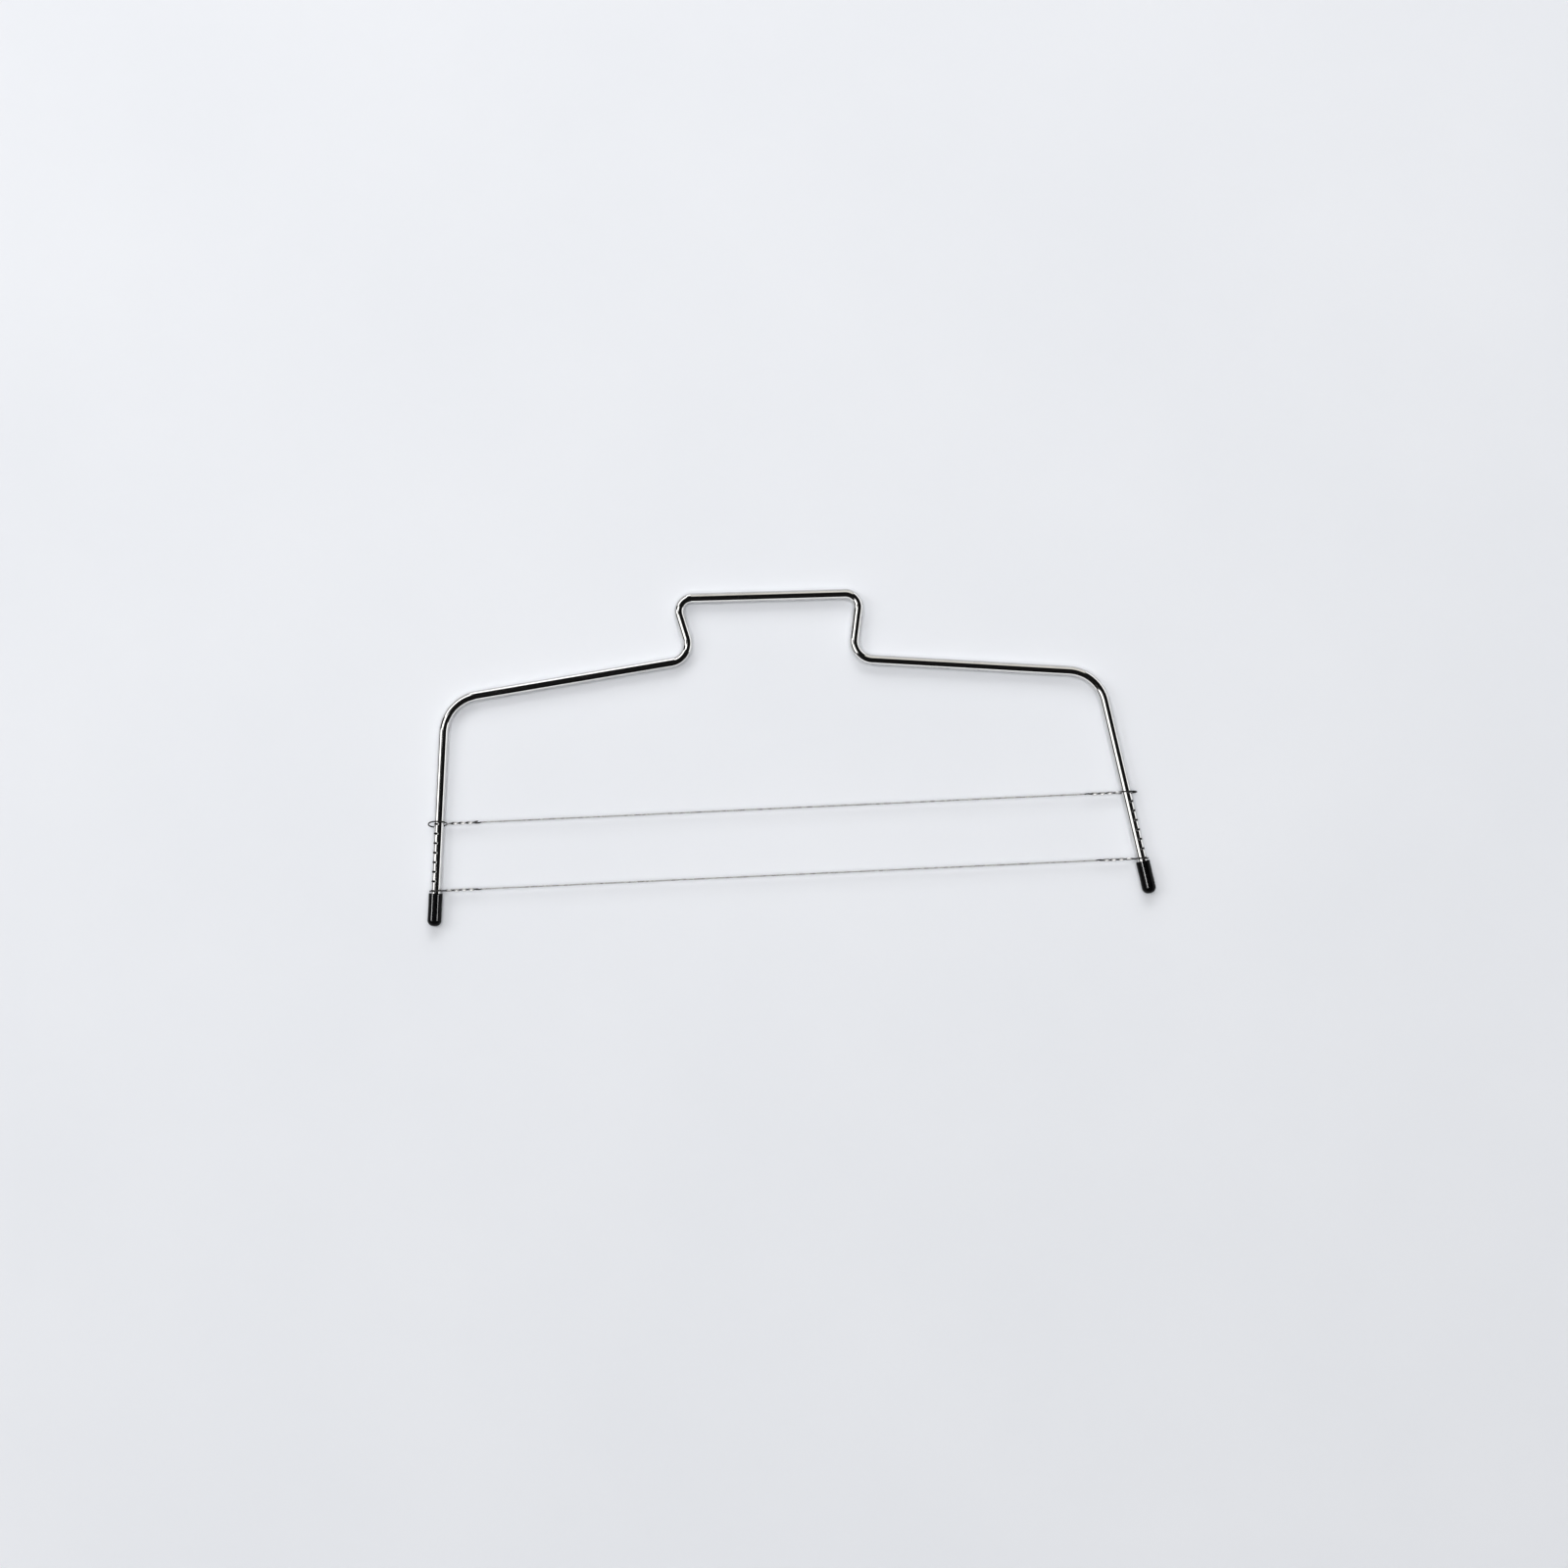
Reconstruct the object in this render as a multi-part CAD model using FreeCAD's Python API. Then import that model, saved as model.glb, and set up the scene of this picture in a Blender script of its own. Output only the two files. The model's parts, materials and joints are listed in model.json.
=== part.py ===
import FreeCAD
import Part
import math
import os

# Cake leveler: one bent rod frame, a cap on each foot and two taut cutting wires.
# Sizes are in millimetres and degrees. It is drawn lying flat: x runs along the wires,
# y runs from the foot tips to the handle, and z runs up, with the rod's axis at z = 0.

# Rod frame. Lengths run between the corners of the rod's axis.
rod_diameter = 3.5
handle_length = 66.2
handle_height = 112.2  # middle of the handle above the foot tips
handle_tilt = -1.0  # the right-hand end is the lower one
left_neck_length = 22.5
right_neck_length = 23.4
left_neck_lean = 14.5  # each neck leans in under the handle
right_neck_lean = 9.9
left_shoulder_length = 89.8
right_shoulder_length = 88.0
left_shoulder_drop = 7.0  # each shoulder falls towards its leg
right_shoulder_drop = 5.9
left_leg_splay = 5.4  # each leg leans out towards its foot
right_leg_splay = 10.6
handle_bend_radius = 4.7
neck_bend_radius = 6.8
shoulder_bend_radius = 14.0

# Foot caps: sleeves with a closed round end, pushed over the rod's ends
cap_length = 11.8
cap_wall = 0.73
cap_floor = 1.6  # closed end, from the foot tip to the end of the rod
cap_clearance = 0.02  # between the rod and the cap's bore, all round
cap_tip_flat = 0.3  # radius of the flat spot at the tip
cap_rim_round = 0.3

# Notches across the legs, open outwards and up
notch_count = 8
notch_pitch = 3.4
notch_radius = 0.4
notch_depth = 0.35
notch_lift = 52.0  # how far a notch is turned up from straight outwards
lowest_notch_gap = 0.5  # from the highest cap rim to the lowest notch

# Cutting wires. Each end goes round its leg in an eye and is twisted back on itself.
wire_diameter = 0.5
strand_gap = 0.1  # between the two strands of a twist
eye_clearance = 0.14  # between the rod and the wire, over the whole travel
eye_neck_length = 4.6  # from the rod's nearest place in the eye to the twist
twist_length = 8.0
twist_turns = 1.5
twist_lead = 3.0  # where the span eases off the twist's middle line
tail_length = 1.4
tail_lift = 25.0  # how far the cut tail stands off the wire
upper_left_eye_lean = 25.0
upper_right_eye_lean = 8.0
lower_left_eye_lean = 2.0
lower_right_eye_lean = 2.0

rod_radius = rod_diameter / 2
wire_radius = wire_diameter / 2
cap_bore_radius = rod_radius + cap_clearance
cap_radius = cap_bore_radius + cap_wall

handle_middle = FreeCAD.Vector(0, handle_height, 0)
handle_heading = FreeCAD.Vector(math.cos(math.radians(handle_tilt)), math.sin(math.radians(handle_tilt)), 0)


def down_and_out(sign, angle):
    # Heading at an angle from straight down towards the outside; sign is -1 on the left
    turn = math.radians(angle)
    return FreeCAD.Vector(sign * math.sin(turn), -math.cos(turn), 0)


class Side:
    # One side of the frame: the corners of the rod's axis from the handle to the foot tip

    def __init__(self, sign, neck_length, neck_lean, shoulder_length, shoulder_drop, leg_splay):
        self.sign = sign
        self.splay = math.radians(leg_splay)
        self.leg_heading = down_and_out(sign, leg_splay)
        self.outward = FreeCAD.Vector(sign * math.cos(self.splay), math.sin(self.splay), 0)
        self.handle_corner = handle_middle + handle_heading * (sign * handle_length / 2)
        self.neck_corner = self.handle_corner + down_and_out(sign, -neck_lean) * neck_length
        shoulder_heading = down_and_out(sign, 90 - shoulder_drop)
        self.shoulder_corner = self.neck_corner + shoulder_heading * shoulder_length
        leg_length = self.shoulder_corner.y / math.cos(self.splay)
        self.foot_tip = self.shoulder_corner + self.leg_heading * leg_length
        self.rod_end = self.foot_tip - self.leg_heading * cap_floor
        self.cap_rim_height = cap_length * math.cos(self.splay) + cap_radius * math.sin(self.splay)

    def leg_point(self, height):
        # Point of the leg's axis at a height above the foot tips
        return self.foot_tip - self.leg_heading * (height / math.cos(self.splay))


left = Side(-1, left_neck_length, left_neck_lean, left_shoulder_length, left_shoulder_drop, left_leg_splay)
right = Side(1, right_neck_length, right_neck_lean, right_shoulder_length, right_shoulder_drop, right_leg_splay)

lowest_notch = max(left.cap_rim_height, right.cap_rim_height) + lowest_notch_gap
notch_heights = [lowest_notch + notch_pitch * step for step in range(notch_count)]

# Each wire has half of the notches to itself. It slides along the line midway between
# the legs' directions, so both legs come nearer or go away by the same amount.
wire_travel = (notch_count // 2 - 1) * notch_pitch
slide_turn = (right.splay - left.splay) / 2
slide_heading = FreeCAD.Vector(-math.sin(slide_turn), math.cos(slide_turn), 0)


def leg_shift(side):
    # How far the leg's axis moves outwards past an eye that slides down by the whole travel
    drop = wire_travel * slide_heading.y
    return drop * math.tan(side.splay) + side.sign * wire_travel * slide_heading.x


def path_edges(stations):
    # Lines and pairs of tangent arcs through stations, each a point and a unit heading
    edges = []
    for (start, start_heading), (end, end_heading) in zip(stations, stations[1:]):
        chord = end - start
        bend = start_heading.dot(end_heading) - 1
        if start_heading.cross(chord).Length < 1e-7 and abs(bend) < 1e-12:
            edges.append(Part.LineSegment(start, end).toShape())
            continue
        along = chord.dot(start_heading + end_heading)
        if abs(bend) < 1e-12:
            reach = chord.dot(chord) / (2 * along)
        else:
            reach = (along - math.sqrt(along * along - 2 * bend * chord.dot(chord))) / (2 * bend)
        first_corner = start + start_heading * reach
        second_corner = end - end_heading * reach
        middle = (first_corner + second_corner) * 0.5
        edges.append(tangent_arc(start, first_corner, middle))
        edges.append(tangent_arc(middle, second_corner, end))
    return edges


def tangent_arc(start, corner, end):
    # Arc that touches both lines of a corner whose two lines are equally long
    middle = (start + end) * 0.5
    half_cosine = (middle - start).Length / (corner - start).Length
    crown = corner + (middle - corner) * (1 / (1 + half_cosine))
    return Part.Arc(start, crown, end).toShape()


def round_tube(name, stations, diameter):
    # Solid rod of a diameter along a path; its volume is compared with section times length
    path = Part.Wire(path_edges(stations))
    section = Part.Wire(Part.makeCircle(diameter / 2, stations[0][0], stations[0][1]))
    tube = path.makePipeShell([section], True, False).Solids[0]
    expected = math.pi * diameter ** 2 / 4 * path.Length
    print(f"{name}: length {path.Length:.2f}, volume {tube.Volume / expected:.5f} of section times length")
    return tube


def bent_rod_stations(corners, radii):
    # Stations of a rod with straight runs and one round bend at each inner corner
    headings = [(end - start).normalize() for start, end in zip(corners, corners[1:])]
    stations = [(corners[0], headings[0])]
    for corner, radius, before, after in zip(corners[1:-1], radii, headings, headings[1:]):
        setback = radius * math.tan(before.getAngle(after) / 2)
        stations.append((corner - before * setback, before))
        stations.append((corner + after * setback, after))
    stations.append((corners[-1], headings[-1]))
    return stations


def make_frame():
    left_corners = [left.rod_end, left.shoulder_corner, left.neck_corner, left.handle_corner]
    right_corners = [right.handle_corner, right.neck_corner, right.shoulder_corner, right.rod_end]
    left_radii = [shoulder_bend_radius, neck_bend_radius, handle_bend_radius]
    stations = bent_rod_stations(left_corners + right_corners, left_radii + left_radii[::-1])
    rod = round_tube("frame", stations, rod_diameter)
    lift = math.radians(notch_lift)
    upright = FreeCAD.Vector(0, 0, 1)
    cutters = []
    for side in (left, right):
        facing = side.outward * math.cos(lift) + upright * math.sin(lift)
        groove_heading = facing.cross(side.leg_heading)
        for height in notch_heights:
            centre = side.leg_point(height) + facing * (rod_radius - notch_depth + notch_radius)
            base = centre - groove_heading * rod_radius
            cutters.append(Part.makeCylinder(notch_radius, rod_diameter, base, groove_heading))
    return rod.cut(cutters).Solids[0]


def make_foot_cap(side):
    # Half section turned about the leg's axis, from the foot tip up to the rim
    tip_radius = cap_radius - cap_tip_flat
    diagonal = tip_radius * math.sqrt(0.5)
    rim_diagonal = cap_rim_round * math.sqrt(0.5)

    def at(radius, height):
        return FreeCAD.Vector(radius, 0, height)

    tip_middle = at(cap_tip_flat + diagonal, tip_radius - diagonal)
    rim_centre = at(cap_radius - cap_rim_round, cap_length - cap_rim_round)
    rim_middle = rim_centre + at(rim_diagonal, rim_diagonal)
    rim_start = at(cap_radius, cap_length - cap_rim_round)
    rim_end = at(cap_radius - cap_rim_round, cap_length)
    edges = [
        Part.LineSegment(at(0, 0), at(cap_tip_flat, 0)),
        Part.Arc(at(cap_tip_flat, 0), tip_middle, at(cap_radius, tip_radius)),
        Part.LineSegment(at(cap_radius, tip_radius), rim_start),
        Part.Arc(rim_start, rim_middle, rim_end),
        Part.LineSegment(rim_end, at(cap_bore_radius, cap_length)),
        Part.LineSegment(at(cap_bore_radius, cap_length), at(cap_bore_radius, cap_floor)),
        Part.LineSegment(at(cap_bore_radius, cap_floor), at(0, cap_floor)),
        Part.LineSegment(at(0, cap_floor), at(0, 0)),
    ]
    half_section = Part.Face(Part.Wire([edge.toShape() for edge in edges]))
    cap = half_section.revolve(at(0, 0), FreeCAD.Vector(0, 0, 1), 360).Solids[0]
    upright = FreeCAD.Vector(0, 0, 1)
    cap.Placement = FreeCAD.Placement(side.foot_tip, FreeCAD.Rotation(upright, side.leg_heading * -1))
    return cap


def wire_end_stations(side, height, lean, inner_shift, outer_shift):
    # One end of a wire, from the span outwards: lead, twist, eye round the leg, twist, tail.
    # The eye holds the leg from its innermost to its outermost place along the slide.
    # Its plane holds the wire and leans about it from upright.
    tilt = math.radians(lean)
    outward = FreeCAD.Vector(side.sign, 0, 0)
    upward = FreeCAD.Vector(0, math.sin(tilt), math.cos(tilt))
    across = outward.cross(upward)
    origin = side.leg_point(height)

    def station(along, up, over, along_heading, up_heading, over_heading):
        point = origin + outward * along + upward * up + across * over
        heading = outward * along_heading + upward * up_heading + across * over_heading
        return point, heading.normalize()

    eye_radius = (rod_radius + wire_radius + eye_clearance) / math.cos(tilt)
    strand_offset = wire_radius + strand_gap / 2
    neck = inner_shift - eye_neck_length
    twist_end = neck - twist_length
    quarter_turns = math.ceil(4 * twist_turns)
    turn_rate = 2 * math.pi * twist_turns

    def twist(share, strand, way):
        # A strand of the twist at a share of the way from its inner end to the eye
        angle = turn_rate * (1 - share)
        up = strand * strand_offset * math.cos(angle)
        over = strand * strand_offset * math.sin(angle)
        along = twist_end + twist_length * share
        return station(along, up, over, way * twist_length, way * turn_rate * over, -way * turn_rate * up)

    shares = [step / quarter_turns for step in range(quarter_turns + 1)]
    lead_in = [station(twist_end - twist_lead, 0, 0, 1, 0, 0)]
    twist_out = [twist(share, 1, 1) for share in shares]
    twist_back = [twist(share, -1, -1) for share in reversed(shares)]

    # The strands leave the twist and touch the eye's inner round at this angle
    reach = math.hypot(eye_neck_length, strand_offset)
    touch = math.pi - math.atan2(strand_offset, eye_neck_length) - math.acos(eye_radius / reach)
    touch_along = inner_shift + eye_radius * math.cos(touch)
    touch_up = eye_radius * math.sin(touch)
    eye = [
        station(touch_along, touch_up, 0, math.sin(touch), -math.cos(touch), 0),
        station(inner_shift, eye_radius, 0, 1, 0, 0),
        station(outer_shift, eye_radius, 0, 1, 0, 0),
        station(outer_shift + eye_radius, 0, 0, 0, -1, 0),
        station(outer_shift, -eye_radius, 0, -1, 0, 0),
        station(inner_shift, -eye_radius, 0, -1, 0, 0),
        station(touch_along, -touch_up, 0, -math.sin(touch), -math.cos(touch), 0),
    ]

    # The cut tail stands away from the strand that goes on as the span
    lift = math.radians(tail_lift)
    tail_out = strand_offset + tail_length * math.sin(lift)
    tail_along = twist_end - tail_length * math.cos(lift)
    tail_up = -math.cos(turn_rate)
    tail_over = -math.sin(turn_rate)
    tail_headings = (-math.cos(lift), tail_up * math.sin(lift), tail_over * math.sin(lift))
    tail = [station(tail_along, tail_up * tail_out, tail_over * tail_out, *tail_headings)]
    return lead_in + twist_out + eye + twist_back + tail


def make_wire(name, height, left_lean, right_lean, slides_up):
    # The wire is drawn as a straight span and two ends, which meet it face to face.
    # An eye that slides up meets its leg further in, and one that slides down further out.
    lengths = []
    span = []
    for side, lean in ((left, left_lean), (right, right_lean)):
        shift = leg_shift(side)
        inner_shift = -shift if slides_up else 0
        outer_shift = 0 if slides_up else shift
        end = wire_end_stations(side, height, lean, inner_shift, outer_shift)
        lengths.append(round_tube(f"{name} end", end, wire_diameter))
        span.append((end[0][0], FreeCAD.Vector(1, 0, 0)))
    lengths.append(round_tube(f"{name} span", span, wire_diameter))
    return Part.makeCompound(lengths)


shapes = {
    "frame": make_frame(),
    "left_foot_cap": make_foot_cap(left),
    "right_foot_cap": make_foot_cap(right),
    "upper_wire": make_wire("upper_wire", notch_heights[-1], upper_left_eye_lean, upper_right_eye_lean, False),
    "lower_wire": make_wire("lower_wire", notch_heights[0], lower_left_eye_lean, lower_right_eye_lean, True),
}

# The origin is the middle of the underside of the whole tool
whole = Part.makeCompound(list(shapes.values())).optimalBoundingBox(False, False)
to_origin = FreeCAD.Vector(-whole.Center.x, -whole.Center.y, -whole.ZMin)
os.makedirs("parts", exist_ok=True)
for name, shape in shapes.items():
    placed = shape.translated(to_origin)
    placed.exportStep(f"parts/{name}.step")
    print(f"{name}: valid {placed.isValid()}, volume {placed.Volume:.3f}")

print(f"overall {whole.XLength:.2f} x {whole.YLength:.2f} x {whole.ZLength:.2f}")
print("drawing's origin in the part:", to_origin)
print(f"wires slide {wire_travel:.3f} along", slide_heading)
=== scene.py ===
import json
import bpy
import numpy as np
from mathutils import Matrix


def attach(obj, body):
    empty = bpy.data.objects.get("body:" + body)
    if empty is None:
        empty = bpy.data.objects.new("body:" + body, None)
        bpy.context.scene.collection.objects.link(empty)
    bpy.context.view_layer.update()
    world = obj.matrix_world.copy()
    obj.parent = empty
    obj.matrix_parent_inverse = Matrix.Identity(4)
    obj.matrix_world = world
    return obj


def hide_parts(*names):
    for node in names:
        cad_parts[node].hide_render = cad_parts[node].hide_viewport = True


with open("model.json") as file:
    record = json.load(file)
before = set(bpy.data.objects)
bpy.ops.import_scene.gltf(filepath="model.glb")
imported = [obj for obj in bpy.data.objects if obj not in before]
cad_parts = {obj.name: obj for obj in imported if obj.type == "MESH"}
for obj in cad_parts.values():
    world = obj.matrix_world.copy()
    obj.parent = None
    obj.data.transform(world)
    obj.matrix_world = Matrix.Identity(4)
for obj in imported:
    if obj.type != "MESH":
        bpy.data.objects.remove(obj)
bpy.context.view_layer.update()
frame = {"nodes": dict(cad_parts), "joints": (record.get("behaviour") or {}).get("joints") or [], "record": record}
print("frame loaded,", len(frame["nodes"]), "nodes")

# Sizes are in millimetres and degrees, and meshes are made in metres.
# x runs along the wires, y from the feet to the handle, z up from the surface that the tool lies on.
metresPerMm = 0.001
mapMargin = 0.04  # the share of a flat map's strip that is left free on either side
mounts = {mount["name"]: mount for mount in frame["record"]["mounts"]}
joints = {joint["name"]: joint for joint in frame["joints"]}
signs = {"left": -1, "right": 1}  # which way is outwards


def unit(vectors):  # every row divided by its own length
    return vectors / np.linalg.norm(vectors, axis=-1, keepdims=True)


def inMm(point):  # a packed place, which is in metres
    return np.array(point) / metresPerMm


def walkedAfter(steps):  # the way walked from the start, before the first step and after each one
    return np.append(0, np.cumsum(steps))


def smoothPath(points, headings, steps):
    # Each stretch is a cubic between two stations, whose slope at either end is the heading times
    # chord / cos(turn / 4)^2: a straight line where nothing turns, and a round bend elsewhere.
    points, headings = np.array(points), unit(np.array(headings))
    turns = np.arccos(np.clip((headings[:-1] * headings[1:]).sum(1), -1, 1))
    pulls = np.linalg.norm(np.diff(points, axis=0), axis=1) / np.cos(turns / 4) ** 2
    stretch = np.append(np.repeat(np.arange(len(steps)), steps), len(steps) - 1)
    t = np.append(np.concatenate([np.arange(count) / count for count in steps]), 1.0)
    u = t[:, None]
    chord = points[stretch + 1] - points[stretch]
    leave = headings[stretch] * pulls[stretch, None]
    arrive = headings[stretch + 1] * pulls[stretch, None]
    bow = leave * u * (1 - u) ** 2 - arrive * u ** 2 * (1 - u)
    line = points[stretch] + chord * u ** 2 * (3 - 2 * u) + bow
    slope = chord * 6 * u * (1 - u) + leave * (1 - u) * (1 - 3 * u) - arrive * u * (2 - 3 * u)
    return line, unit(slope), stretch, t


def roundedEnds(line, heading, reach, rings=6):
    # A quarter round at both ends: the section steps out by sin(a) * reach while it shrinks to cos(a)
    angle = np.linspace(0, np.pi / 2, rings + 1)[1:, None]
    before = line[0] - heading[0] * reach * np.sin(angle[::-1])
    after = line[-1] + heading[-1] * reach * np.sin(angle)
    shrink = np.cos(angle[:, 0])
    scale = np.concatenate([shrink[::-1], np.ones(len(line)), shrink])
    heading = np.pad(heading, ((rings, rings), (0, 0)), "edge")
    return np.concatenate([before, line, after]), heading, scale


def layStrips(mesh, skin, girth, sideCount):
    # A flat map of the skin, cut across into strips that lie side by side: u is the way along a strip,
    # and v = (strip + what is left of the way round) / strips, inside the strip's margins. The map that
    # a finish is baked on has this name.
    strips = max(1, round((skin[-1] / girth) ** 0.5))
    strip = np.minimum(np.floor(skin[:-1] / skin[-1] * strips), strips - 1)
    start = skin[:-1] * strips / skin[-1] - strip
    end = skin[1:] * strips / skin[-1] - strip
    start, end = start / end.max(), end / end.max()
    oneSide = (1 - 2 * mapMargin) / sideCount
    here = 1 - mapMargin - oneSide * np.arange(sideCount)
    beside = here - oneSide
    between = (here + beside) / 2

    def corners(row, along, around):  # one array for each corner of a face, over the rows and sides
        along, around = np.stack(along, -1)[:, None], np.stack(around, -1)
        u, v, level = np.broadcast_arrays(along, around, strip[row][:, None, None])
        return np.stack([u, (level + v) / strips], -1).reshape(-1, 2)

    first, middle, last = slice(0, 1), slice(1, -1), slice(-1, None)
    quadAlong = [start[middle], start[middle], end[middle], end[middle]]
    places = np.concatenate([
        corners(middle, quadAlong, [here, beside, beside, here]),
        corners(first, [start[first], end[first], end[first]], [between, beside, here]),
        corners(last, [end[last], start[last], start[last]], [between, here, beside]),
    ])
    flat = mesh.uv_layers.new(name="OFBake")
    flat.uv.foreach_set("vector", places.astype(np.float32).ravel())


def carriedSection(name, line, heading, sideways, across, upright):
    # A section carried along a path: point = line + across * normal + upright * binormal. The normal is
    # the sideways vector made square to the heading. The first and last rows are poles, one vertex each.
    normal = unit(sideways - heading * (sideways * heading).sum(1, keepdims=True))
    binormal = np.cross(heading, normal)
    rings = line[:, None] + across[..., None] * normal[:, None] + upright[..., None] * binormal[:, None]
    sideCount = across.shape[1]
    ringCount = len(line) - 2
    points = np.concatenate([rings[1:-1].reshape(-1, 3), line[:1], line[-1:]])
    here = np.arange(sideCount)
    beside = np.roll(here, -1)
    row = np.arange(ringCount - 1)[:, None] * sideCount
    quads = np.stack([row + here, row + beside, row + sideCount + beside, row + sideCount + here], -1)
    last = (ringCount - 1) * sideCount
    firstPole = np.full(sideCount, ringCount * sideCount)
    firstFan = np.stack([firstPole, beside, here], -1)
    lastFan = np.stack([firstPole + 1, last + here, last + beside], -1)
    mesh = bpy.data.meshes.new(name)
    faces = quads.reshape(-1, 4).tolist() + firstFan.tolist() + lastFan.tolist()
    mesh.from_pydata((points * metresPerMm).tolist(), [], faces)
    mesh.shade_smooth()

    # For the finish: the place along the path and in the section, as if the piece were pulled straight
    gaps = np.linalg.norm(np.diff(line, axis=0), axis=1)
    walked = walkedAfter(gaps)
    straight = np.stack([np.repeat(walked[:, None], sideCount, 1), across, upright], -1)
    poles = [[walked[0], 0, 0], [walked[-1], 0, 0]]
    straight = np.concatenate([straight[1:-1].reshape(-1, 3), poles])
    stored = mesh.attributes.new("straight", "FLOAT_VECTOR", "POINT")
    stored.data.foreach_set("vector", straight.astype(np.float32).ravel())
    radius = np.hypot(across, upright).max(1)
    skin = walkedAfter(np.hypot(gaps, np.diff(radius)))
    layStrips(mesh, skin, 2 * np.pi * radius.max(), sideCount)
    piece = bpy.data.objects.new(name, mesh)
    bpy.context.scene.collection.objects.link(piece)
    print(name, "made,", len(mesh.polygons), "faces")
    return piece


def storeMask(piece, name, mask):  # one number per ring point, and nothing on the two poles
    stored = piece.data.attributes.new(name, "FLOAT", "POINT")
    stored.data.foreach_set("value", np.append(mask[1:-1].ravel(), [0, 0]).astype(np.float32))


def settle(piece, body, node, finish):  # the piece takes its node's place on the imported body
    piece.data.materials.append(finish)
    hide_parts(node)
    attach(piece, body)


class Shade:  # a node tree's socket, for sums and for adding nodes
    def __init__(self, tree, socket=None):
        self.tree = tree
        self.socket = socket

    def node(self, kind, settings, sockets, out=0):  # any node: its settings first, then its sockets
        made = self.tree.nodes.new(kind)
        for key, value in settings.items():
            setattr(made, key, value)
        for key, value in sockets.items():
            if isinstance(value, Shade):
                self.tree.links.new(value.socket, made.inputs[key])
            else:
                made.inputs[key].default_value = value
        return Shade(self.tree, made.outputs[out]) if made.outputs else None

    def maths(self, operation, first, second):
        return self.node("ShaderNodeMath", {"operation": operation}, {0: first, 1: second})

    def __add__(self, other):
        return self.maths("ADD", self, other)

    def __radd__(self, other):
        return self.maths("ADD", other, self)

    def __sub__(self, other):
        return self.maths("SUBTRACT", self, other)

    def __rsub__(self, other):
        return self.maths("SUBTRACT", other, self)

    def __mul__(self, other):
        return self.maths("MULTIPLY", self, other)

    def __rmul__(self, other):
        return self.maths("MULTIPLY", other, self)


def attribute(shade, name, out):
    return shade.node("ShaderNodeAttribute", {"attribute_name": name}, {}, out)


def stretched(shade, vector, scale):  # the coordinates drawn out or squeezed along each axis
    return shade.node("ShaderNodeMapping", {}, {"Vector": vector, "Scale": scale})


def noise(shade, vector, scale, detail=2.0, roughness=0.5):
    sockets = {"Vector": vector, "Scale": scale, "Detail": detail, "Roughness": roughness}
    return shade.node("ShaderNodeTexNoise", {}, sockets)


def ease(shade, value, low, high):  # 0 below low, 1 above high, and smooth between
    sockets = {"Value": value, "From Min": low, "From Max": high}
    return shade.node("ShaderNodeMapRange", {"interpolation_type": "SMOOTHSTEP"}, sockets)


def mixed(shade, factor, first, second):  # two colours
    return shade.node("ShaderNodeMix", {"data_type": "RGBA"}, {0: factor, 6: first, 7: second}, 2)


def bump(shade, height, strength, depth):
    sockets = {"Height": height, "Strength": strength, "Distance": depth * metresPerMm}
    return shade.node("ShaderNodeBump", {}, sockets)


def newFinish(name):
    finish = bpy.data.materials.new(name)
    finish.use_nodes = True
    finish.node_tree.nodes.clear()
    return finish, Shade(finish.node_tree)


def surface(shade, sockets):
    shader = shade.node("ShaderNodeBsdfPrincipled", {}, sockets)
    shade.node("ShaderNodeOutputMaterial", {}, {"Surface": shader})


# Sizes of the rod, which is bent into the handle, the necks, the shoulders and the legs, and of its caps
rod = {
    "radius": 1.75,
    "handleLength": 66.2,
    "handleTilt": -1.0,
    "neckLength": {"left": 22.5, "right": 23.4},
    "neckLean": {"left": 14.5, "right": 9.9},
    "shoulderDrop": {"left": 7.0, "right": 5.9},
    "bends": ["shoulder", "neck", "handle", "handle", "neck", "shoulder"],  # from left to right
    "bendRadius": {"shoulder": 14.0, "neck": 6.8, "handle": 4.7},
    "bendSteps": 40,
    "runSteps": 12,
    "flattening": 0.035,  # how much a bend is squeezed in its own plane
    "endRound": 0.2,
    "sides": 96,
}
notch = {
    "count": 8,
    "pitch": 3.4,
    "radius": 0.4,
    "depth": 0.35,
    "lift": 52.0,  # turned up from straight outwards
    "gapAboveCap": 0.5,
    "lip": 0.05,  # width over which its edge is rounded
    # the darkening is painted shade in the notch, darkest towards its floor
    "darkening": (0.075, 0.325),  # shares of the depth where it begins and is full
    "steps": 28,
    "gapSteps": 4,
}
cap = {
    "length": 11.8,
    "floor": 1.6,
    "radius": 2.5,
    "boreRadius": 1.77,
    "tipFlat": 0.3,
    "rimRound": 0.3,
    "boreRound": 0.15,
    "waist": 0.05,  # how far the barrel draws in between the rim and the tip
    "tipSteps": 24,
    "barrelSteps": 40,
    "rimSteps": 10,
    "sides": 72,
}
cap["tipRadius"] = cap["radius"] - cap["tipFlat"]
cap["rimStart"] = cap["length"] - cap["rimRound"]
handleMiddle = inMm(mounts["hang_bar"]["pos_m"]) + [0, rod["radius"], 0]


def downAndOut(side, angle):  # heading at an angle from straight down towards the outside
    turn = np.radians(angle)
    return np.array([signs[side] * np.sin(turn), -np.cos(turn), 0])


def meeting(start, heading, other, otherHeading):  # where two lines in the flat cross
    reach = np.linalg.solve(np.stack([heading[:2], -otherHeading[:2]], 1), (other - start)[:2])
    return start + heading * reach[0]


def legOf(side):
    # The foot's packed mount lies on the leg's axis, at the middle of the cap's straight barrel
    mount = mounts[side + "_foot"]
    heading = unit(np.array(mount["axis"]))
    tip = inMm(mount["pos_m"]) + heading * (cap["rimStart"] + cap["tipRadius"]) / 2
    rimHeight = -cap["length"] * heading[1] + cap["radius"] * signs[side] * heading[0]
    return {"heading": heading, "tip": tip, "rimHeight": rimHeight}


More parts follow.
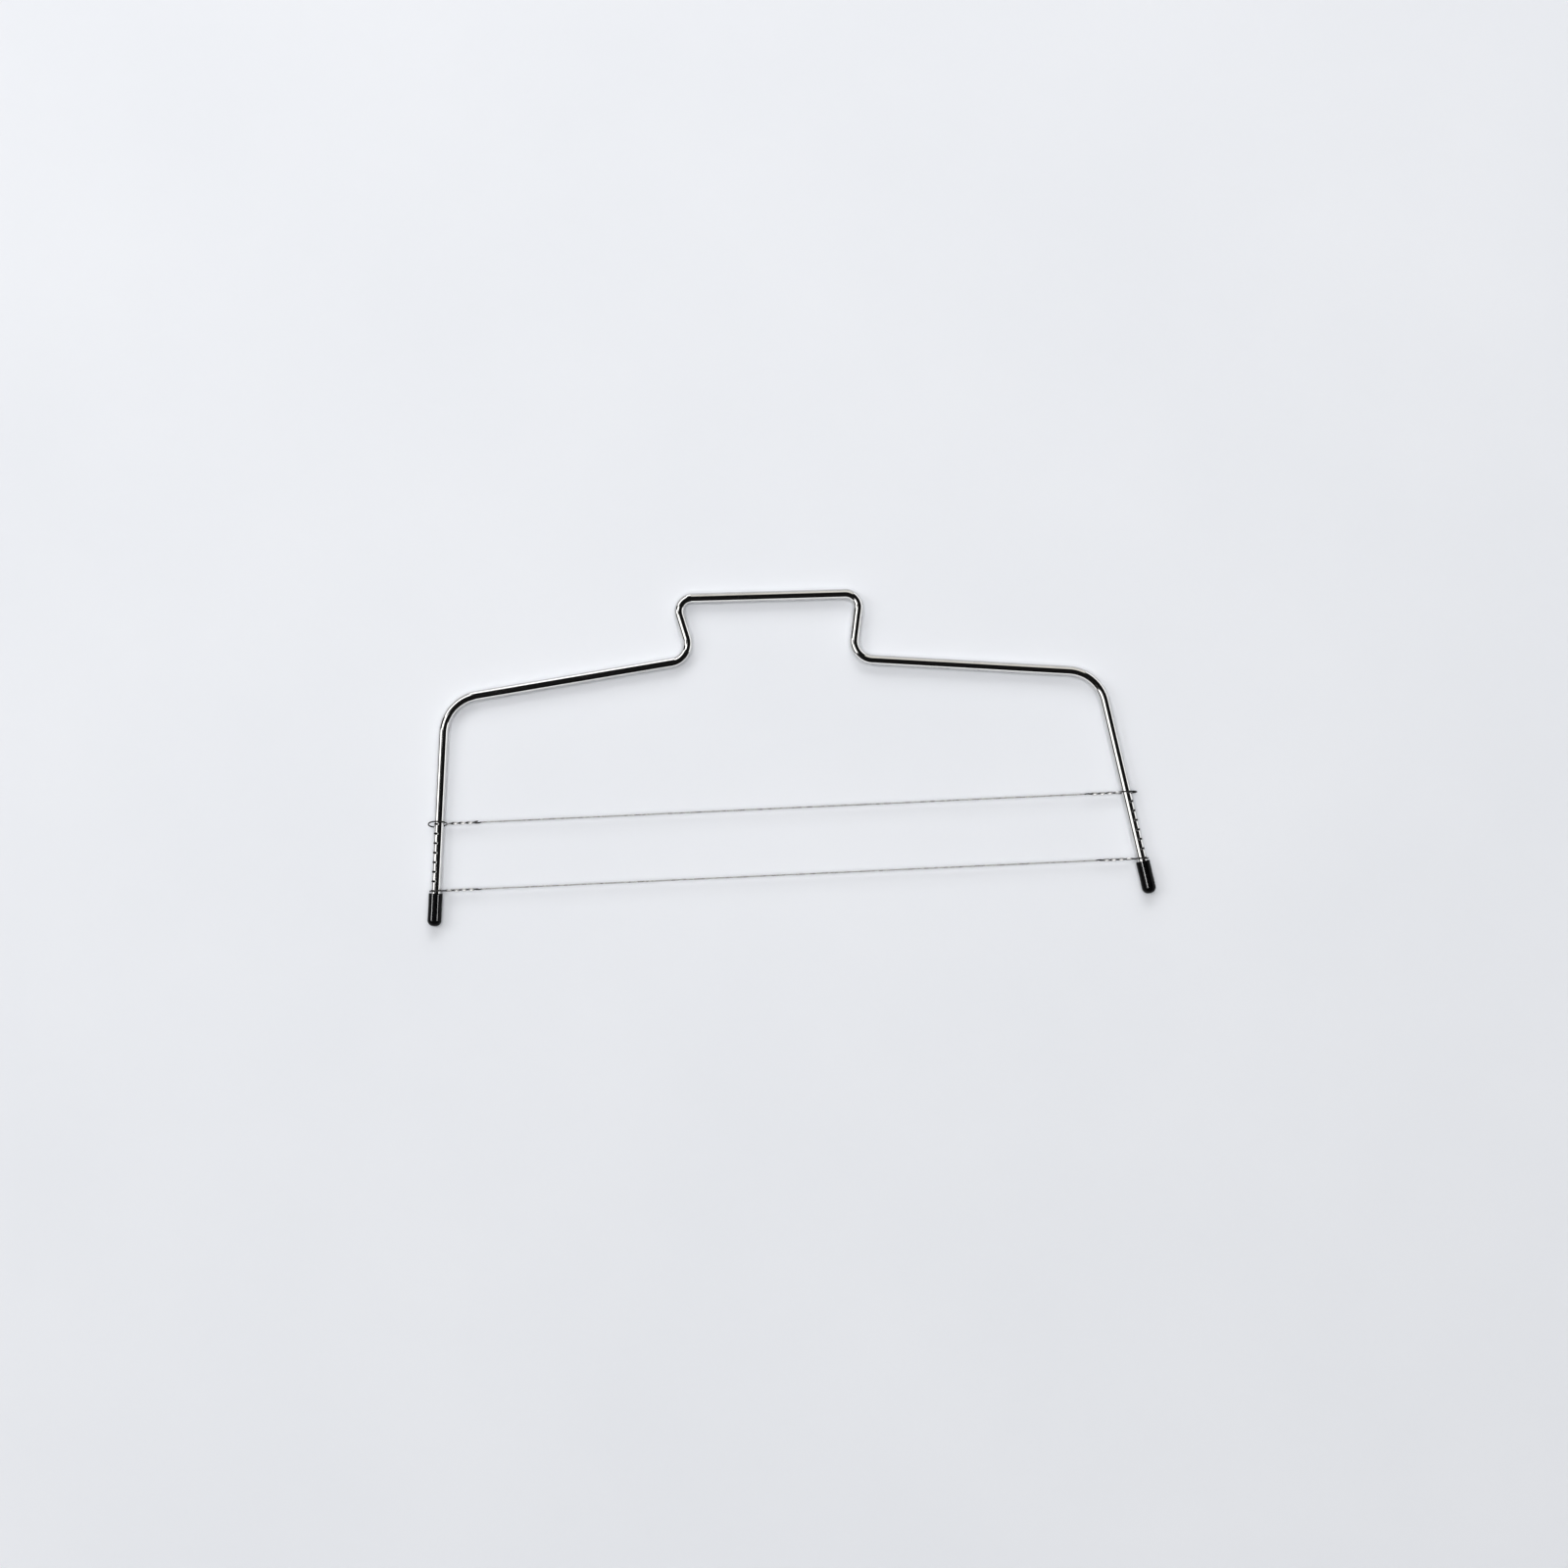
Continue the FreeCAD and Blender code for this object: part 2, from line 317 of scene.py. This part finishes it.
def legPoint(side, height):  # on the leg's axis, at a height above the foot tips along y
    return legs[side]["tip"] + legs[side]["heading"] * height / legs[side]["heading"][1]


legs = {side: legOf(side) for side in signs}
lowestNotch = max(leg["rimHeight"] for leg in legs.values()) + notch["gapAboveCap"]
notchHeights = lowestNotch + notch["pitch"] * np.arange(notch["count"])


# Rod
def rodCorners(side):  # from the handle to the rod's end in the cap
    tilt = np.radians(rod["handleTilt"])
    handleHeading = np.array([np.cos(tilt), np.sin(tilt), 0])
    handleCorner = handleMiddle + handleHeading * signs[side] * rod["handleLength"] / 2
    neckCorner = handleCorner + downAndOut(side, -rod["neckLean"][side]) * rod["neckLength"][side]
    shoulderHeading = downAndOut(side, 90 - rod["shoulderDrop"][side])
    shoulderCorner = meeting(neckCorner, shoulderHeading, legs[side]["tip"], legs[side]["heading"])
    rodEnd = legs[side]["tip"] - legs[side]["heading"] * (cap["floor"] + rod["endRound"])
    return [handleCorner, neckCorner, shoulderCorner, rodEnd]


def notchMiddles(side):
    return np.array([legPoint(side, height) for height in notchHeights])


def notchEdges(side):  # just outside each notch's two lips along the leg, from the foot up
    middles = notchMiddles(side)
    halfWidth = legs[side]["heading"] * (notch["radius"] + 2 * notch["lip"])
    return list(np.stack([middles + halfWidth, middles - halfWidth], 1).reshape(-1, 3))


def rodPath():
    # Straight runs and one round bend at each corner, with stations at the notches for finer steps.
    # The last array is how much the rod is squeezed: sin(pi * t)^2 along a bend, and 0 in a run.
    corners = rodCorners("left")[::-1] + rodCorners("right")
    runs = unit(np.diff(corners, axis=0))
    leftEdges, rightEdges = notchEdges("left"), notchEdges("right")[::-1]
    notchSteps = [notch["gapSteps"], notch["steps"]] * notch["count"]
    points = [corners[0]] + leftEdges
    headings = [runs[0]] * len(points)
    steps = list(notchSteps)
    bends = []
    for corner, name, before, after in zip(corners[1:-1], rod["bends"], runs, runs[1:]):
        setback = rod["bendRadius"][name] * np.tan(np.arccos(before @ after) / 2)
        points += [corner - before * setback, corner + after * setback]
        headings += [before, after]
        bends.append(len(steps) + 1)
        steps += [rod["runSteps"], rod["bendSteps"]]
    points += rightEdges + [corners[-1]]
    headings += [runs[-1]] * (len(rightEdges) + 1)
    steps += [rod["runSteps"]] + notchSteps[::-1]
    line, heading, stretch, t = smoothPath(points, headings, steps)
    return line, heading, np.isin(stretch, bends) * np.sin(np.pi * t) ** 2


def bentRod():
    line, heading, bent = rodPath()
    line, heading, scale = roundedEnds(line, heading, rod["endRound"])
    bent = np.pad(bent, (len(scale) - len(bent)) // 2)[:, None]
    around = np.linspace(0, 2 * np.pi, rod["sides"], endpoint=False)
    reach = rod["radius"] * scale[:, None]
    across = reach * (1 - rod["flattening"] * bent) * np.cos(around)
    upright = reach * (1 + rod["flattening"] / 3 * bent) * np.sin(around)

    # A notch is a round groove across the leg. Its floor lies centre - sqrt(radius^2 - offset^2) from
    # the rod's axis on the side that it faces, and a smooth minimum sinks the rod's side to that floor.
    middles = np.concatenate([notchMiddles(side) for side in signs])
    offset = np.linalg.norm(line[:, None] - middles, axis=2).min(1)
    groove = np.sqrt(np.maximum(notch["radius"] ** 2 - offset ** 2, 0))
    centre = rod["radius"] - notch["depth"] + notch["radius"]
    floor = np.where(offset < notch["radius"], centre - groove, 2 * rod["radius"])[:, None]
    lift = np.radians(notch["lift"])
    facing = across * np.cos(lift) + upright * np.sin(lift)
    share = np.clip(0.5 + 0.5 * (floor - facing) / notch["lip"], 0, 1)
    sunk = facing - (floor + (facing - floor) * share - notch["lip"] * share * (1 - share))
    across = across - sunk * np.cos(lift)
    upright = upright - sunk * np.sin(lift)

    outwards = np.stack([-heading[:, 1], heading[:, 0], 0 * heading[:, 0]], 1)  # of the bracket
    piece = carriedSection("polishedRod", line, heading, outwards, across, upright)
    # The notches are rougher where filed, and darkened towards their floor as painted shade.
    begin, full = notch["darkening"]
    storeMask(piece, "filedAndShaded", np.clip((sunk / notch["depth"] - begin) / (full - begin), 0, 1))
    return piece


def rodFinish():
    look = {
        "bright": (0.66, 0.655, 0.645, 1),
        "dull": (0.56, 0.552, 0.535, 1),
        # painted shade in the notches
        "filedAndShaded": (0.014, 0.0135, 0.013, 1),
        "linesPerMm": (0.03, 7, 7),  # along, across and up
        "patchesPerMm": 0.09,
        "patchLimits": (0.42, 0.72),
        "pitsPerMm": 5.0,
        "pitLimits": (0.68, 0.74),
    }
    finish, shade = newFinish("polishedRod")
    straight = attribute(shade, "straight", "Vector")
    drawn = noise(shade, stretched(shade, straight, look["linesPerMm"]), 1.0, 3)  # faint lines
    handled = noise(shade, straight, look["patchesPerMm"], 4, 0.6)
    cloud = ease(shade, handled, *look["patchLimits"])
    pits = ease(shade, noise(shade, straight, look["pitsPerMm"], 1), *look["pitLimits"])
    # the notches: filed roughness, and painted shade darkest at their floor
    filedAndShaded = attribute(shade, "filedAndShaded", "Fac")
    colour = mixed(shade, 0.6 * cloud, look["bright"], look["dull"])
    surface(shade, {
        "Base Color": mixed(shade, filedAndShaded, colour, look["filedAndShaded"]),
        "Metallic": 1.0,
        "Roughness": 0.05 + 0.05 * drawn + 0.06 * cloud + 0.25 * filedAndShaded,
        "Normal": bump(shade, drawn - 0.4 * pits, 0.08, 0.02),
    })
    return finish


settle(bentRod(), "frame", "frame", rodFinish())


# Caps: black vinyl sleeves with a round end, dipped and pushed on the rod
def footCap(side):
    # Turned about the leg: radius r at height h from the tip, over the round end, up the barrel, over
    # the rim and down the bore. The barrel draws in by waist * sin(pi * share)^2.
    leg = legs[side]
    tipTurn = np.linspace(0, np.pi / 2, cap["tipSteps"])
    share = np.linspace(0, 1, cap["barrelSteps"])[1:-1]
    rimTurn = np.linspace(0, np.pi / 2, cap["rimSteps"])
    r = np.concatenate([
        [0],
        cap["tipFlat"] + cap["tipRadius"] * np.sin(tipTurn),
        cap["radius"] - cap["waist"] * np.sin(np.pi * share) ** 2,
        cap["radius"] - cap["rimRound"] * (1 - np.cos(rimTurn)),
        cap["boreRadius"] + cap["boreRound"] * (1 - np.sin(rimTurn)),
        [cap["boreRadius"], 0],
    ])
    h = np.concatenate([
        [0],
        cap["tipRadius"] * (1 - np.cos(tipTurn)),
        cap["tipRadius"] + (cap["rimStart"] - cap["tipRadius"]) * share,
        cap["rimStart"] + cap["rimRound"] * np.sin(rimTurn),
        cap["length"] - cap["boreRound"] * (1 - np.cos(rimTurn)),
        [cap["floor"], cap["floor"]],
    ])
    around = np.linspace(0, 2 * np.pi, cap["sides"], endpoint=False)
    line = leg["tip"] - leg["heading"] * h[:, None]
    heading = np.tile(-leg["heading"], (len(h), 1))
    upwards = np.tile([0.0, 0.0, 1.0], (len(h), 1))
    across = r[:, None] * np.cos(around)
    upright = r[:, None] * np.sin(around)
    return carriedSection(side + "Cap", line, heading, upwards, across, upright)


def capFinish():
    look = {
        "black": (0.001, 0.001, 0.0011, 1),
        "worn": (0.004, 0.004, 0.0042, 1),
        "patchesPerMm": 0.5,
        "patchLimits": (0.4, 0.75),
        "wavesPerMm": 1.6,
        "scuffStretch": (0.6, 3, 3),  # along, across and up
        "scuffsPerMm": 1.4,
        "scuffLimits": (0.62, 0.72),
    }
    finish, shade = newFinish("dippedVinyl")
    straight = attribute(shade, "straight", "Vector")
    cloud = ease(shade, noise(shade, straight, look["patchesPerMm"], 4, 0.6), *look["patchLimits"])
    peel = noise(shade, straight, look["wavesPerMm"], 2)  # the dip's gentle unevenness
    rubbed = noise(shade, stretched(shade, straight, look["scuffStretch"]), look["scuffsPerMm"], 5, 0.7)
    scuffs = ease(shade, rubbed, *look["scuffLimits"])
    surface(shade, {
        "Base Color": mixed(shade, 0.5 * cloud + 0.4 * scuffs, look["black"], look["worn"]),
        "Roughness": 0.05 + 0.02 * cloud + 0.05 * scuffs,
        "Specular IOR Level": 0.06,
        "Normal": bump(shade, peel - 0.3 * scuffs, 0.12, 0.05),
    })
    return finish


vinyl = capFinish()
# Pieces with lights of their own
litAlone = {name: bpy.data.collections.new(name) for name in ["leftCap", "rightCap", "wires"]}
for side in signs:
    piece = footCap(side)
    settle(piece, "frame", side + "_foot_cap", vinyl)
    litAlone[side + "Cap"].objects.link(piece)


# Wires: each end goes round its leg in an eye and is twisted back on itself
wire = {
    "radius": 0.25,
    "strandGap": 0.1,
    "eyeClearance": 0.14,
    "eyeNeck": 4.6,
    "twistLength": 8.0,
    "twistTurns": 1.5,
    "twistLead": 3.0,
    "tailLength": 1.4,
    "tailLift": 25.0,
    "endRound": 0.08,
    "quarterSteps": 8,  # in a quarter turn of the twist
    "eyeSteps": [8, 10, 3, 12],  # from the twist to the outermost point
    "tailSteps": 5,
    "spanSteps": 30,
    "sides": 20,
}
wires = {
    "upper_wire": {"name": "upperWire", "notch": -1, "lean": {"left": 25.0, "right": 8.0}},
    "lower_wire": {"name": "lowerWire", "notch": 0, "lean": {"left": 2.0, "right": 2.0}},
}


def eyeReach(side, joint):  # how far in and out the leg's axis comes, from rest, over the wire's slide
    heading, axis = legs[side]["heading"], joint["axis"]
    outPerMm = signs[side] * (axis[0] - axis[1] * heading[0] / heading[1])
    ends = [-travel / metresPerMm * outPerMm for travel in joint["range_m"]]
    return min(ends), max(ends)


def wireEnd(side, kind, joint):
    # Stations from the span outwards, as along, up and over the eye's own plane: lead, twist, eye,
    # twist, tail. A strand of the twist lies at (offset * cos a, offset * sin a), and a turns evenly.
    lean = np.radians(kind["lean"][side])
    lift = np.radians(wire["tailLift"])
    inner, outer = eyeReach(side, joint)
    eyeRadius = (rod["radius"] + wire["radius"] + wire["eyeClearance"]) / np.cos(lean)
    offset = wire["radius"] + wire["strandGap"] / 2
    twistEnd = inner - wire["eyeNeck"] - wire["twistLength"]
    turning = 2 * np.pi * wire["twistTurns"]
    quarters = int(np.ceil(4 * wire["twistTurns"]))

    share = np.linspace(0, 1, quarters + 1)
    a = turning * (1 - share)
    up, over = offset * np.cos(a), offset * np.sin(a)
    strand = np.stack([twistEnd + wire["twistLength"] * share, up, over], 1)
    strandHeading = np.stack([0 * a + wire["twistLength"], turning * over, -turning * up], 1)

    # The eye's straight sides touch its round at this angle, from straight out
    neckReach = np.hypot(wire["eyeNeck"], offset)
    touch = np.pi - np.arctan2(offset, wire["eyeNeck"]) - np.arccos(eyeRadius / neckReach)
    touchPoint = [inner + eyeRadius * np.cos(touch), eyeRadius * np.sin(touch), 0]
    eye = np.array([touchPoint, [inner, eyeRadius, 0], [outer, eyeRadius, 0]])
    eyeHeading = np.array([[np.sin(touch), -np.cos(touch), 0], [1, 0, 0], [1, 0, 0]])

    tailUp = -np.array([0, np.cos(turning), np.sin(turning)])  # where the strand that comes back ends
    tailHeading = tailUp * np.sin(lift) - [np.cos(lift), 0, 0]
    tail = [twistEnd, 0, 0] + tailUp * offset + tailHeading * wire["tailLength"]
    points = np.concatenate([
        [[twistEnd - wire["twistLead"], 0, 0]], strand, eye, [[outer + eyeRadius, 0, 0]],
        eye[::-1] * [1, -1, 1], strand[::-1] * [1, -1, -1], [tail],
    ])
    headings = np.concatenate([
        [[1, 0, 0]], strandHeading, eyeHeading, [[0, -1, 0]],
        eyeHeading[::-1] * [-1, 1, 1], strandHeading[::-1] * [-1, 1, 1], [tailHeading],
    ])
    steps = [wire["quarterSteps"]] * (quarters + 1) + wire["eyeSteps"]
    steps += wire["eyeSteps"][::-1] + [wire["quarterSteps"]] * quarters + [wire["tailSteps"]]
    outward = np.array([signs[side], 0, 0])
    upward = np.array([0, np.sin(lean), np.cos(lean)])
    plane = np.stack([outward, upward, np.cross(outward, upward)])
    origin = legPoint(side, notchHeights[kind["notch"]])
    return origin + points @ plane, unit(headings) @ plane, steps


def shadedEnd(side, line, kind, joint):
    # Painted shade on the wire's ends: full all over the leg, and cos(a)^2 from there to the end of the twist,
    # where a is the strand's turn, so that it is darkest where one strand hides the other.
    # The cut tail counts as twisted all along, and the lead less and less.
    twistStart = eyeReach(side, joint)[0] - wire["eyeNeck"]
    outwards = (line - legPoint(side, notchHeights[kind["notch"]]))[:, 0] * signs[side]
    share = (twistStart - outwards) / wire["twistLength"]
    a = 2 * np.pi * wire["twistTurns"] * np.clip(share, -0.5 / wire["twistTurns"], 1)
    lead = np.clip(1 - (share - 1) * wire["twistLength"] / wire["tailLength"], 0, 1)
    end = line[0] if side == "left" else line[-1]
    lead[np.linalg.norm(line - end, axis=1) < wire["tailLength"]] = 1
    return lead, np.cos(a) ** 2


def tautWire(kind, joint):
    leftPoints, leftHeadings, leftSteps = wireEnd("left", kind, joint)
    rightPoints, rightHeadings, rightSteps = wireEnd("right", kind, joint)
    points = np.concatenate([leftPoints[::-1], rightPoints])
    headings = np.concatenate([-leftHeadings[::-1], rightHeadings])
    steps = leftSteps[::-1] + [wire["spanSteps"]] + rightSteps
    line, heading = smoothPath(points, headings, steps)[:2]
    line, heading, scale = roundedEnds(line, heading, wire["endRound"])
    # The section keeps one side square to the eyes' planes, and turns from one to the other on the span
    spanShare = np.clip((line[:, 0] - leftPoints[0, 0]) / (rightPoints[0, 0] - leftPoints[0, 0]), 0, 1)
    lean = np.radians(kind["lean"]["left"] + (kind["lean"]["right"] - kind["lean"]["left"]) * spanShare)
    sideways = np.stack([0 * lean, np.cos(lean), -np.sin(lean)], 1)
    around = np.linspace(0, 2 * np.pi, wire["sides"], endpoint=False)
    reach = wire["radius"] * scale[:, None]
    across = reach * np.cos(around)
    upright = reach * np.sin(around)
    piece = carriedSection(kind["name"], line, heading, sideways, across, upright)
    leftLead, leftStrandShade = shadedEnd("left", line, kind, joint)
    rightLead, rightStrandShade = shadedEnd("right", line, kind, joint)
    # painted shade where one strand hides the other, and on the eye round the leg
    strandShade = np.where(leftLead > 0, leftStrandShade, rightStrandShade)
    storeMask(piece, "twisted", np.repeat((leftLead + rightLead)[:, None], wire["sides"], 1))
    storeMask(piece, "strandShade", np.repeat(strandShade[:, None], wire["sides"], 1))
    return piece


def wireFinish():
    look = {
        "bright": (0.5, 0.495, 0.485, 1),
        "dull": (0.32, 0.315, 0.305, 1),
        "rubbed": (0.85, 0.845, 0.835, 1),  # painted highlight on the twisted ends, where both strands show
        # painted shade in the twisted ends and on the eyes
        "strandShade": (0.032, 0.031, 0.03, 1),
        "linesPerMm": (0.15, 14, 14),  # along, across and up
        "patchesPerMm": 0.25,
        "patchLimits": (0.4, 0.7),
    }
    finish, shade = newFinish("drawnWire")
    straight = attribute(shade, "straight", "Vector")
    drawn = noise(shade, stretched(shade, straight, look["linesPerMm"]), 1.0, 3)  # lines left by the die
    cloud = ease(shade, noise(shade, straight, look["patchesPerMm"], 4, 0.6), *look["patchLimits"])
    span = mixed(shade, 0.7 * cloud, look["bright"], look["dull"])
    # the twisted ends: painted highlight where both strands show, painted shade where one hides the other
    ends = mixed(shade, attribute(shade, "strandShade", "Fac"), look["rubbed"], look["strandShade"])
    surface(shade, {
        "Base Color": mixed(shade, attribute(shade, "twisted", "Fac"), span, ends),
        "Metallic": 1.0,
        "Roughness": 0.2 + 0.12 * drawn + 0.08 * cloud,
        "Normal": bump(shade, drawn, 0.15, 0.02),
    })
    return finish


drawnSteel = wireFinish()
for node, kind in wires.items():
    piece = tautWire(kind, joints[node + "_slide"])
    settle(piece, node, node, drawnSteel)
    litAlone["wires"].objects.link(piece)
print("pieces settled")


# Floor, light and camera. The camera looks straight down, and the tool lies a little turned in its view.
view = {
    "turn": -2.65,
    "aim": (-0.75, -12.21),  # the point under the middle of the picture
    "width": 559.2,  # what the picture takes in
    "lens": 85.0,
    "sensor": 36.0,
}
ground = {
    "size": 20.0,  # metres
    "fade": (0.42, 1.5),  # where it begins and ends to turn into the backdrop, in metres from the tool
    "pale": (0.80, 0.82, 0.86, 1),
    "palest": (0.86, 0.875, 0.91, 1),
    "patchesPerMetre": 9.0,
}
# Azimuth runs from the right over the top of the picture, and zenith is the angle from straight up.
# Lights are sized in metres.
lightDistance = 3.0
wattsPerRadiance = 4.0  # for each square metre of an area lamp
lights = {
    "fill": {"azimuth": 0, "zenith": 0, "size": (2.0, 2.0), "radiance": 3.5, "on": "floor"},
    "topKey": {"azimuth": 93, "zenith": 55, "size": (1.6, 3.0), "radiance": 2.6, "on": "floor"},
    "leftKey": {"azimuth": 165, "zenith": 52, "size": (1.4, 1.4), "radiance": 3.0, "on": "floor"},
    "leftStrip": {"azimuth": 180, "zenith": 51, "size": (0.4, 0.9), "radiance": 105, "on": "leftCap"},
    "farStrip": {"azimuth": -6, "zenith": 48, "size": (0.4, 0.7), "radiance": 80, "on": "leftCap"},
    "rightStrip": {"azimuth": 202, "zenith": 20, "size": (0.6, 0.4), "radiance": 95, "on": "rightCap"},
    "glint": {"azimuth": 0, "zenith": 0, "size": (2.0, 2.0), "radiance": 10.0, "on": "wires"},
}
walls = {  # what the rod mirrors round a dark ceiling; height is 1 straight up and 0 at the horizon
    "farLeft": {"azimuth": (97, 112), "height": (-1.1, 0.5), "colour": (2.2, 2.2, 2.2, 1)},
    "left": {"azimuth": (112, 156), "height": (0.34, 0.77), "colour": (2.4, 2.4, 2.4, 1)},
    "midLeft": {"azimuth": (156, 172), "height": (0.68, 0.97), "colour": (2.5, 2.5, 2.5, 1)},
    "nearLeft": {"azimuth": (172, 186), "height": (0.38, 0.79), "colour": (2.5, 2.5, 2.5, 1)},
    "lowerLeft": {"azimuth": (186, 215), "height": (0.5, 0.965), "colour": (2.0, 2.0, 2.0, 1)},
    "bottom": {"azimuth": (215, 277), "height": (-1.1, 0.22), "colour": (1.7, 1.7, 1.72, 1)},
    "lowerRight": {"azimuth": (277, 340), "height": (-1.1, 0.1), "colour": (1.7, 1.7, 1.72, 1)},
    "right": {"azimuth": (340, 420), "height": (-1.1, 0.32), "colour": (1.8, 1.8, 1.82, 1)},
    "top": {"azimuth": (420, 457), "height": (0.1, 0.79), "colour": (0.98, 0.96, 0.9, 1)},
}
wallSoftness = {"azimuth": 1.5, "height": 0.03}  # half the width of an edge
sky = {"ceiling": (0.01, 0.01, 0.01, 1), "backdrop": (0.8, 0.82, 0.86, 1)}


def layFloor():
    mesh = bpy.data.meshes.new("floor")
    half = ground["size"] / 2
    corners = [(-half, -half, 0), (half, -half, 0), (half, half, 0), (-half, half, 0)]
    mesh.from_pydata(corners, [], [(0, 1, 2, 3)])
    floor = bpy.data.objects.new("floor", mesh)
    bpy.context.scene.collection.objects.link(floor)
    finish, shade = newFinish("paleFloor")
    place = shade.node("ShaderNodeTexCoord", {}, {}, "Object")
    cloud = noise(shade, place, ground["patchesPerMetre"], 4)
    near = mixed(shade, cloud, ground["pale"], ground["palest"])
    away = shade.node("ShaderNodeVectorMath", {"operation": "LENGTH"}, {0: place}, "Value")
    faded = ease(shade, away, *ground["fade"])
    black = (0, 0, 0, 1)
    surface(shade, {
        "Base Color": mixed(shade, faded, near, black),
        "Roughness": 0.7,
        "Specular IOR Level": 0.2,
        "Emission Color": mixed(shade, faded, black, sky["backdrop"]),
        "Emission Strength": 1.0,
    })
    finish.cycles.emission_sampling = "NONE"  # it is a backdrop, and lights nothing
    mesh.materials.append(finish)


def hangLight(name, kind):
    azimuth = np.radians(kind["azimuth"] + view["turn"])
    zenith = np.radians(kind["zenith"])
    away = np.array([np.sin(zenith) * np.cos(azimuth), np.sin(zenith) * np.sin(azimuth), np.cos(zenith)])
    lamp = bpy.data.lights.new(name, "AREA")
    lamp.shape = "RECTANGLE"
    lamp.size, lamp.size_y = kind["size"]
    lamp.energy = kind["radiance"] * wattsPerRadiance * kind["size"][0] * kind["size"][1]
    holder = bpy.data.objects.new(name, lamp)
    bpy.context.scene.collection.objects.link(holder)
    holder.location = away * lightDistance
    holder.rotation_euler = (0, zenith, azimuth)
    holder.visible_camera = False
    if kind["on"] in litAlone:
        holder.light_linking.receiver_collection = litAlone[kind["on"]]
    else:
        holder.visible_glossy = False


def within(shade, value, limits, soft):  # 1 between the limits and 0 outside, with soft edges
    low, high = limits
    entered = ease(shade, value, low - soft, low + soft)
    passed = ease(shade, value, high - soft, high + soft)
    return entered * (1 - passed)


def lightSky():
    world = bpy.data.worlds.new("studio")
    bpy.context.scene.world = world
    world.cycles_visibility.diffuse = False  # the floor has its own lights
    world.use_nodes = True
    world.node_tree.nodes.clear()
    shade = Shade(world.node_tree)
    direction = {"Vector": shade.node("ShaderNodeTexCoord", {}, {}, "Generated")}
    x, y, height = [shade.node("ShaderNodeSeparateXYZ", {}, direction, axis) for axis in "XYZ"]
    bearing = shade.maths("ARCTAN2", y, x) * float(np.degrees(1)) - view["turn"]
    first = float(walls["farLeft"]["azimuth"][0])
    azimuth = shade.node("ShaderNodeMath", {"operation": "WRAP"}, {0: bearing, 1: first + 360, 2: first})
    colour = sky["ceiling"]
    for wall in walls.values():
        beside = within(shade, azimuth, wall["azimuth"], wallSoftness["azimuth"])
        level = within(shade, height, wall["height"], wallSoftness["height"])
        colour = mixed(shade, beside * level, colour, wall["colour"])
    seen = shade.node("ShaderNodeLightPath", {}, {}, "Is Camera Ray")
    shown = mixed(shade, seen, colour, sky["backdrop"])
    background = shade.node("ShaderNodeBackground", {}, {"Color": shown})
    shade.node("ShaderNodeOutputWorld", {}, {"Surface": background})


def placeCamera():
    data = bpy.data.cameras.new("camera")
    data.lens, data.sensor_width = view["lens"], view["sensor"]
    distance = view["width"] * view["lens"] / view["sensor"] * metresPerMm
    camera = bpy.data.objects.new("camera", data)
    bpy.context.scene.collection.objects.link(camera)
    rodHeight = handleMiddle[2] * metresPerMm
    camera.location = (view["aim"][0] * metresPerMm, view["aim"][1] * metresPerMm, rodHeight + distance)
    camera.rotation_euler = (0, 0, np.radians(view["turn"]))
    bpy.context.scene.camera = camera


layFloor()
for name, kind in lights.items():
    hangLight(name, kind)
lightSky()
placeCamera()
bpy.context.scene.view_settings.view_transform = "Standard"
print("floor, lights and camera in place")
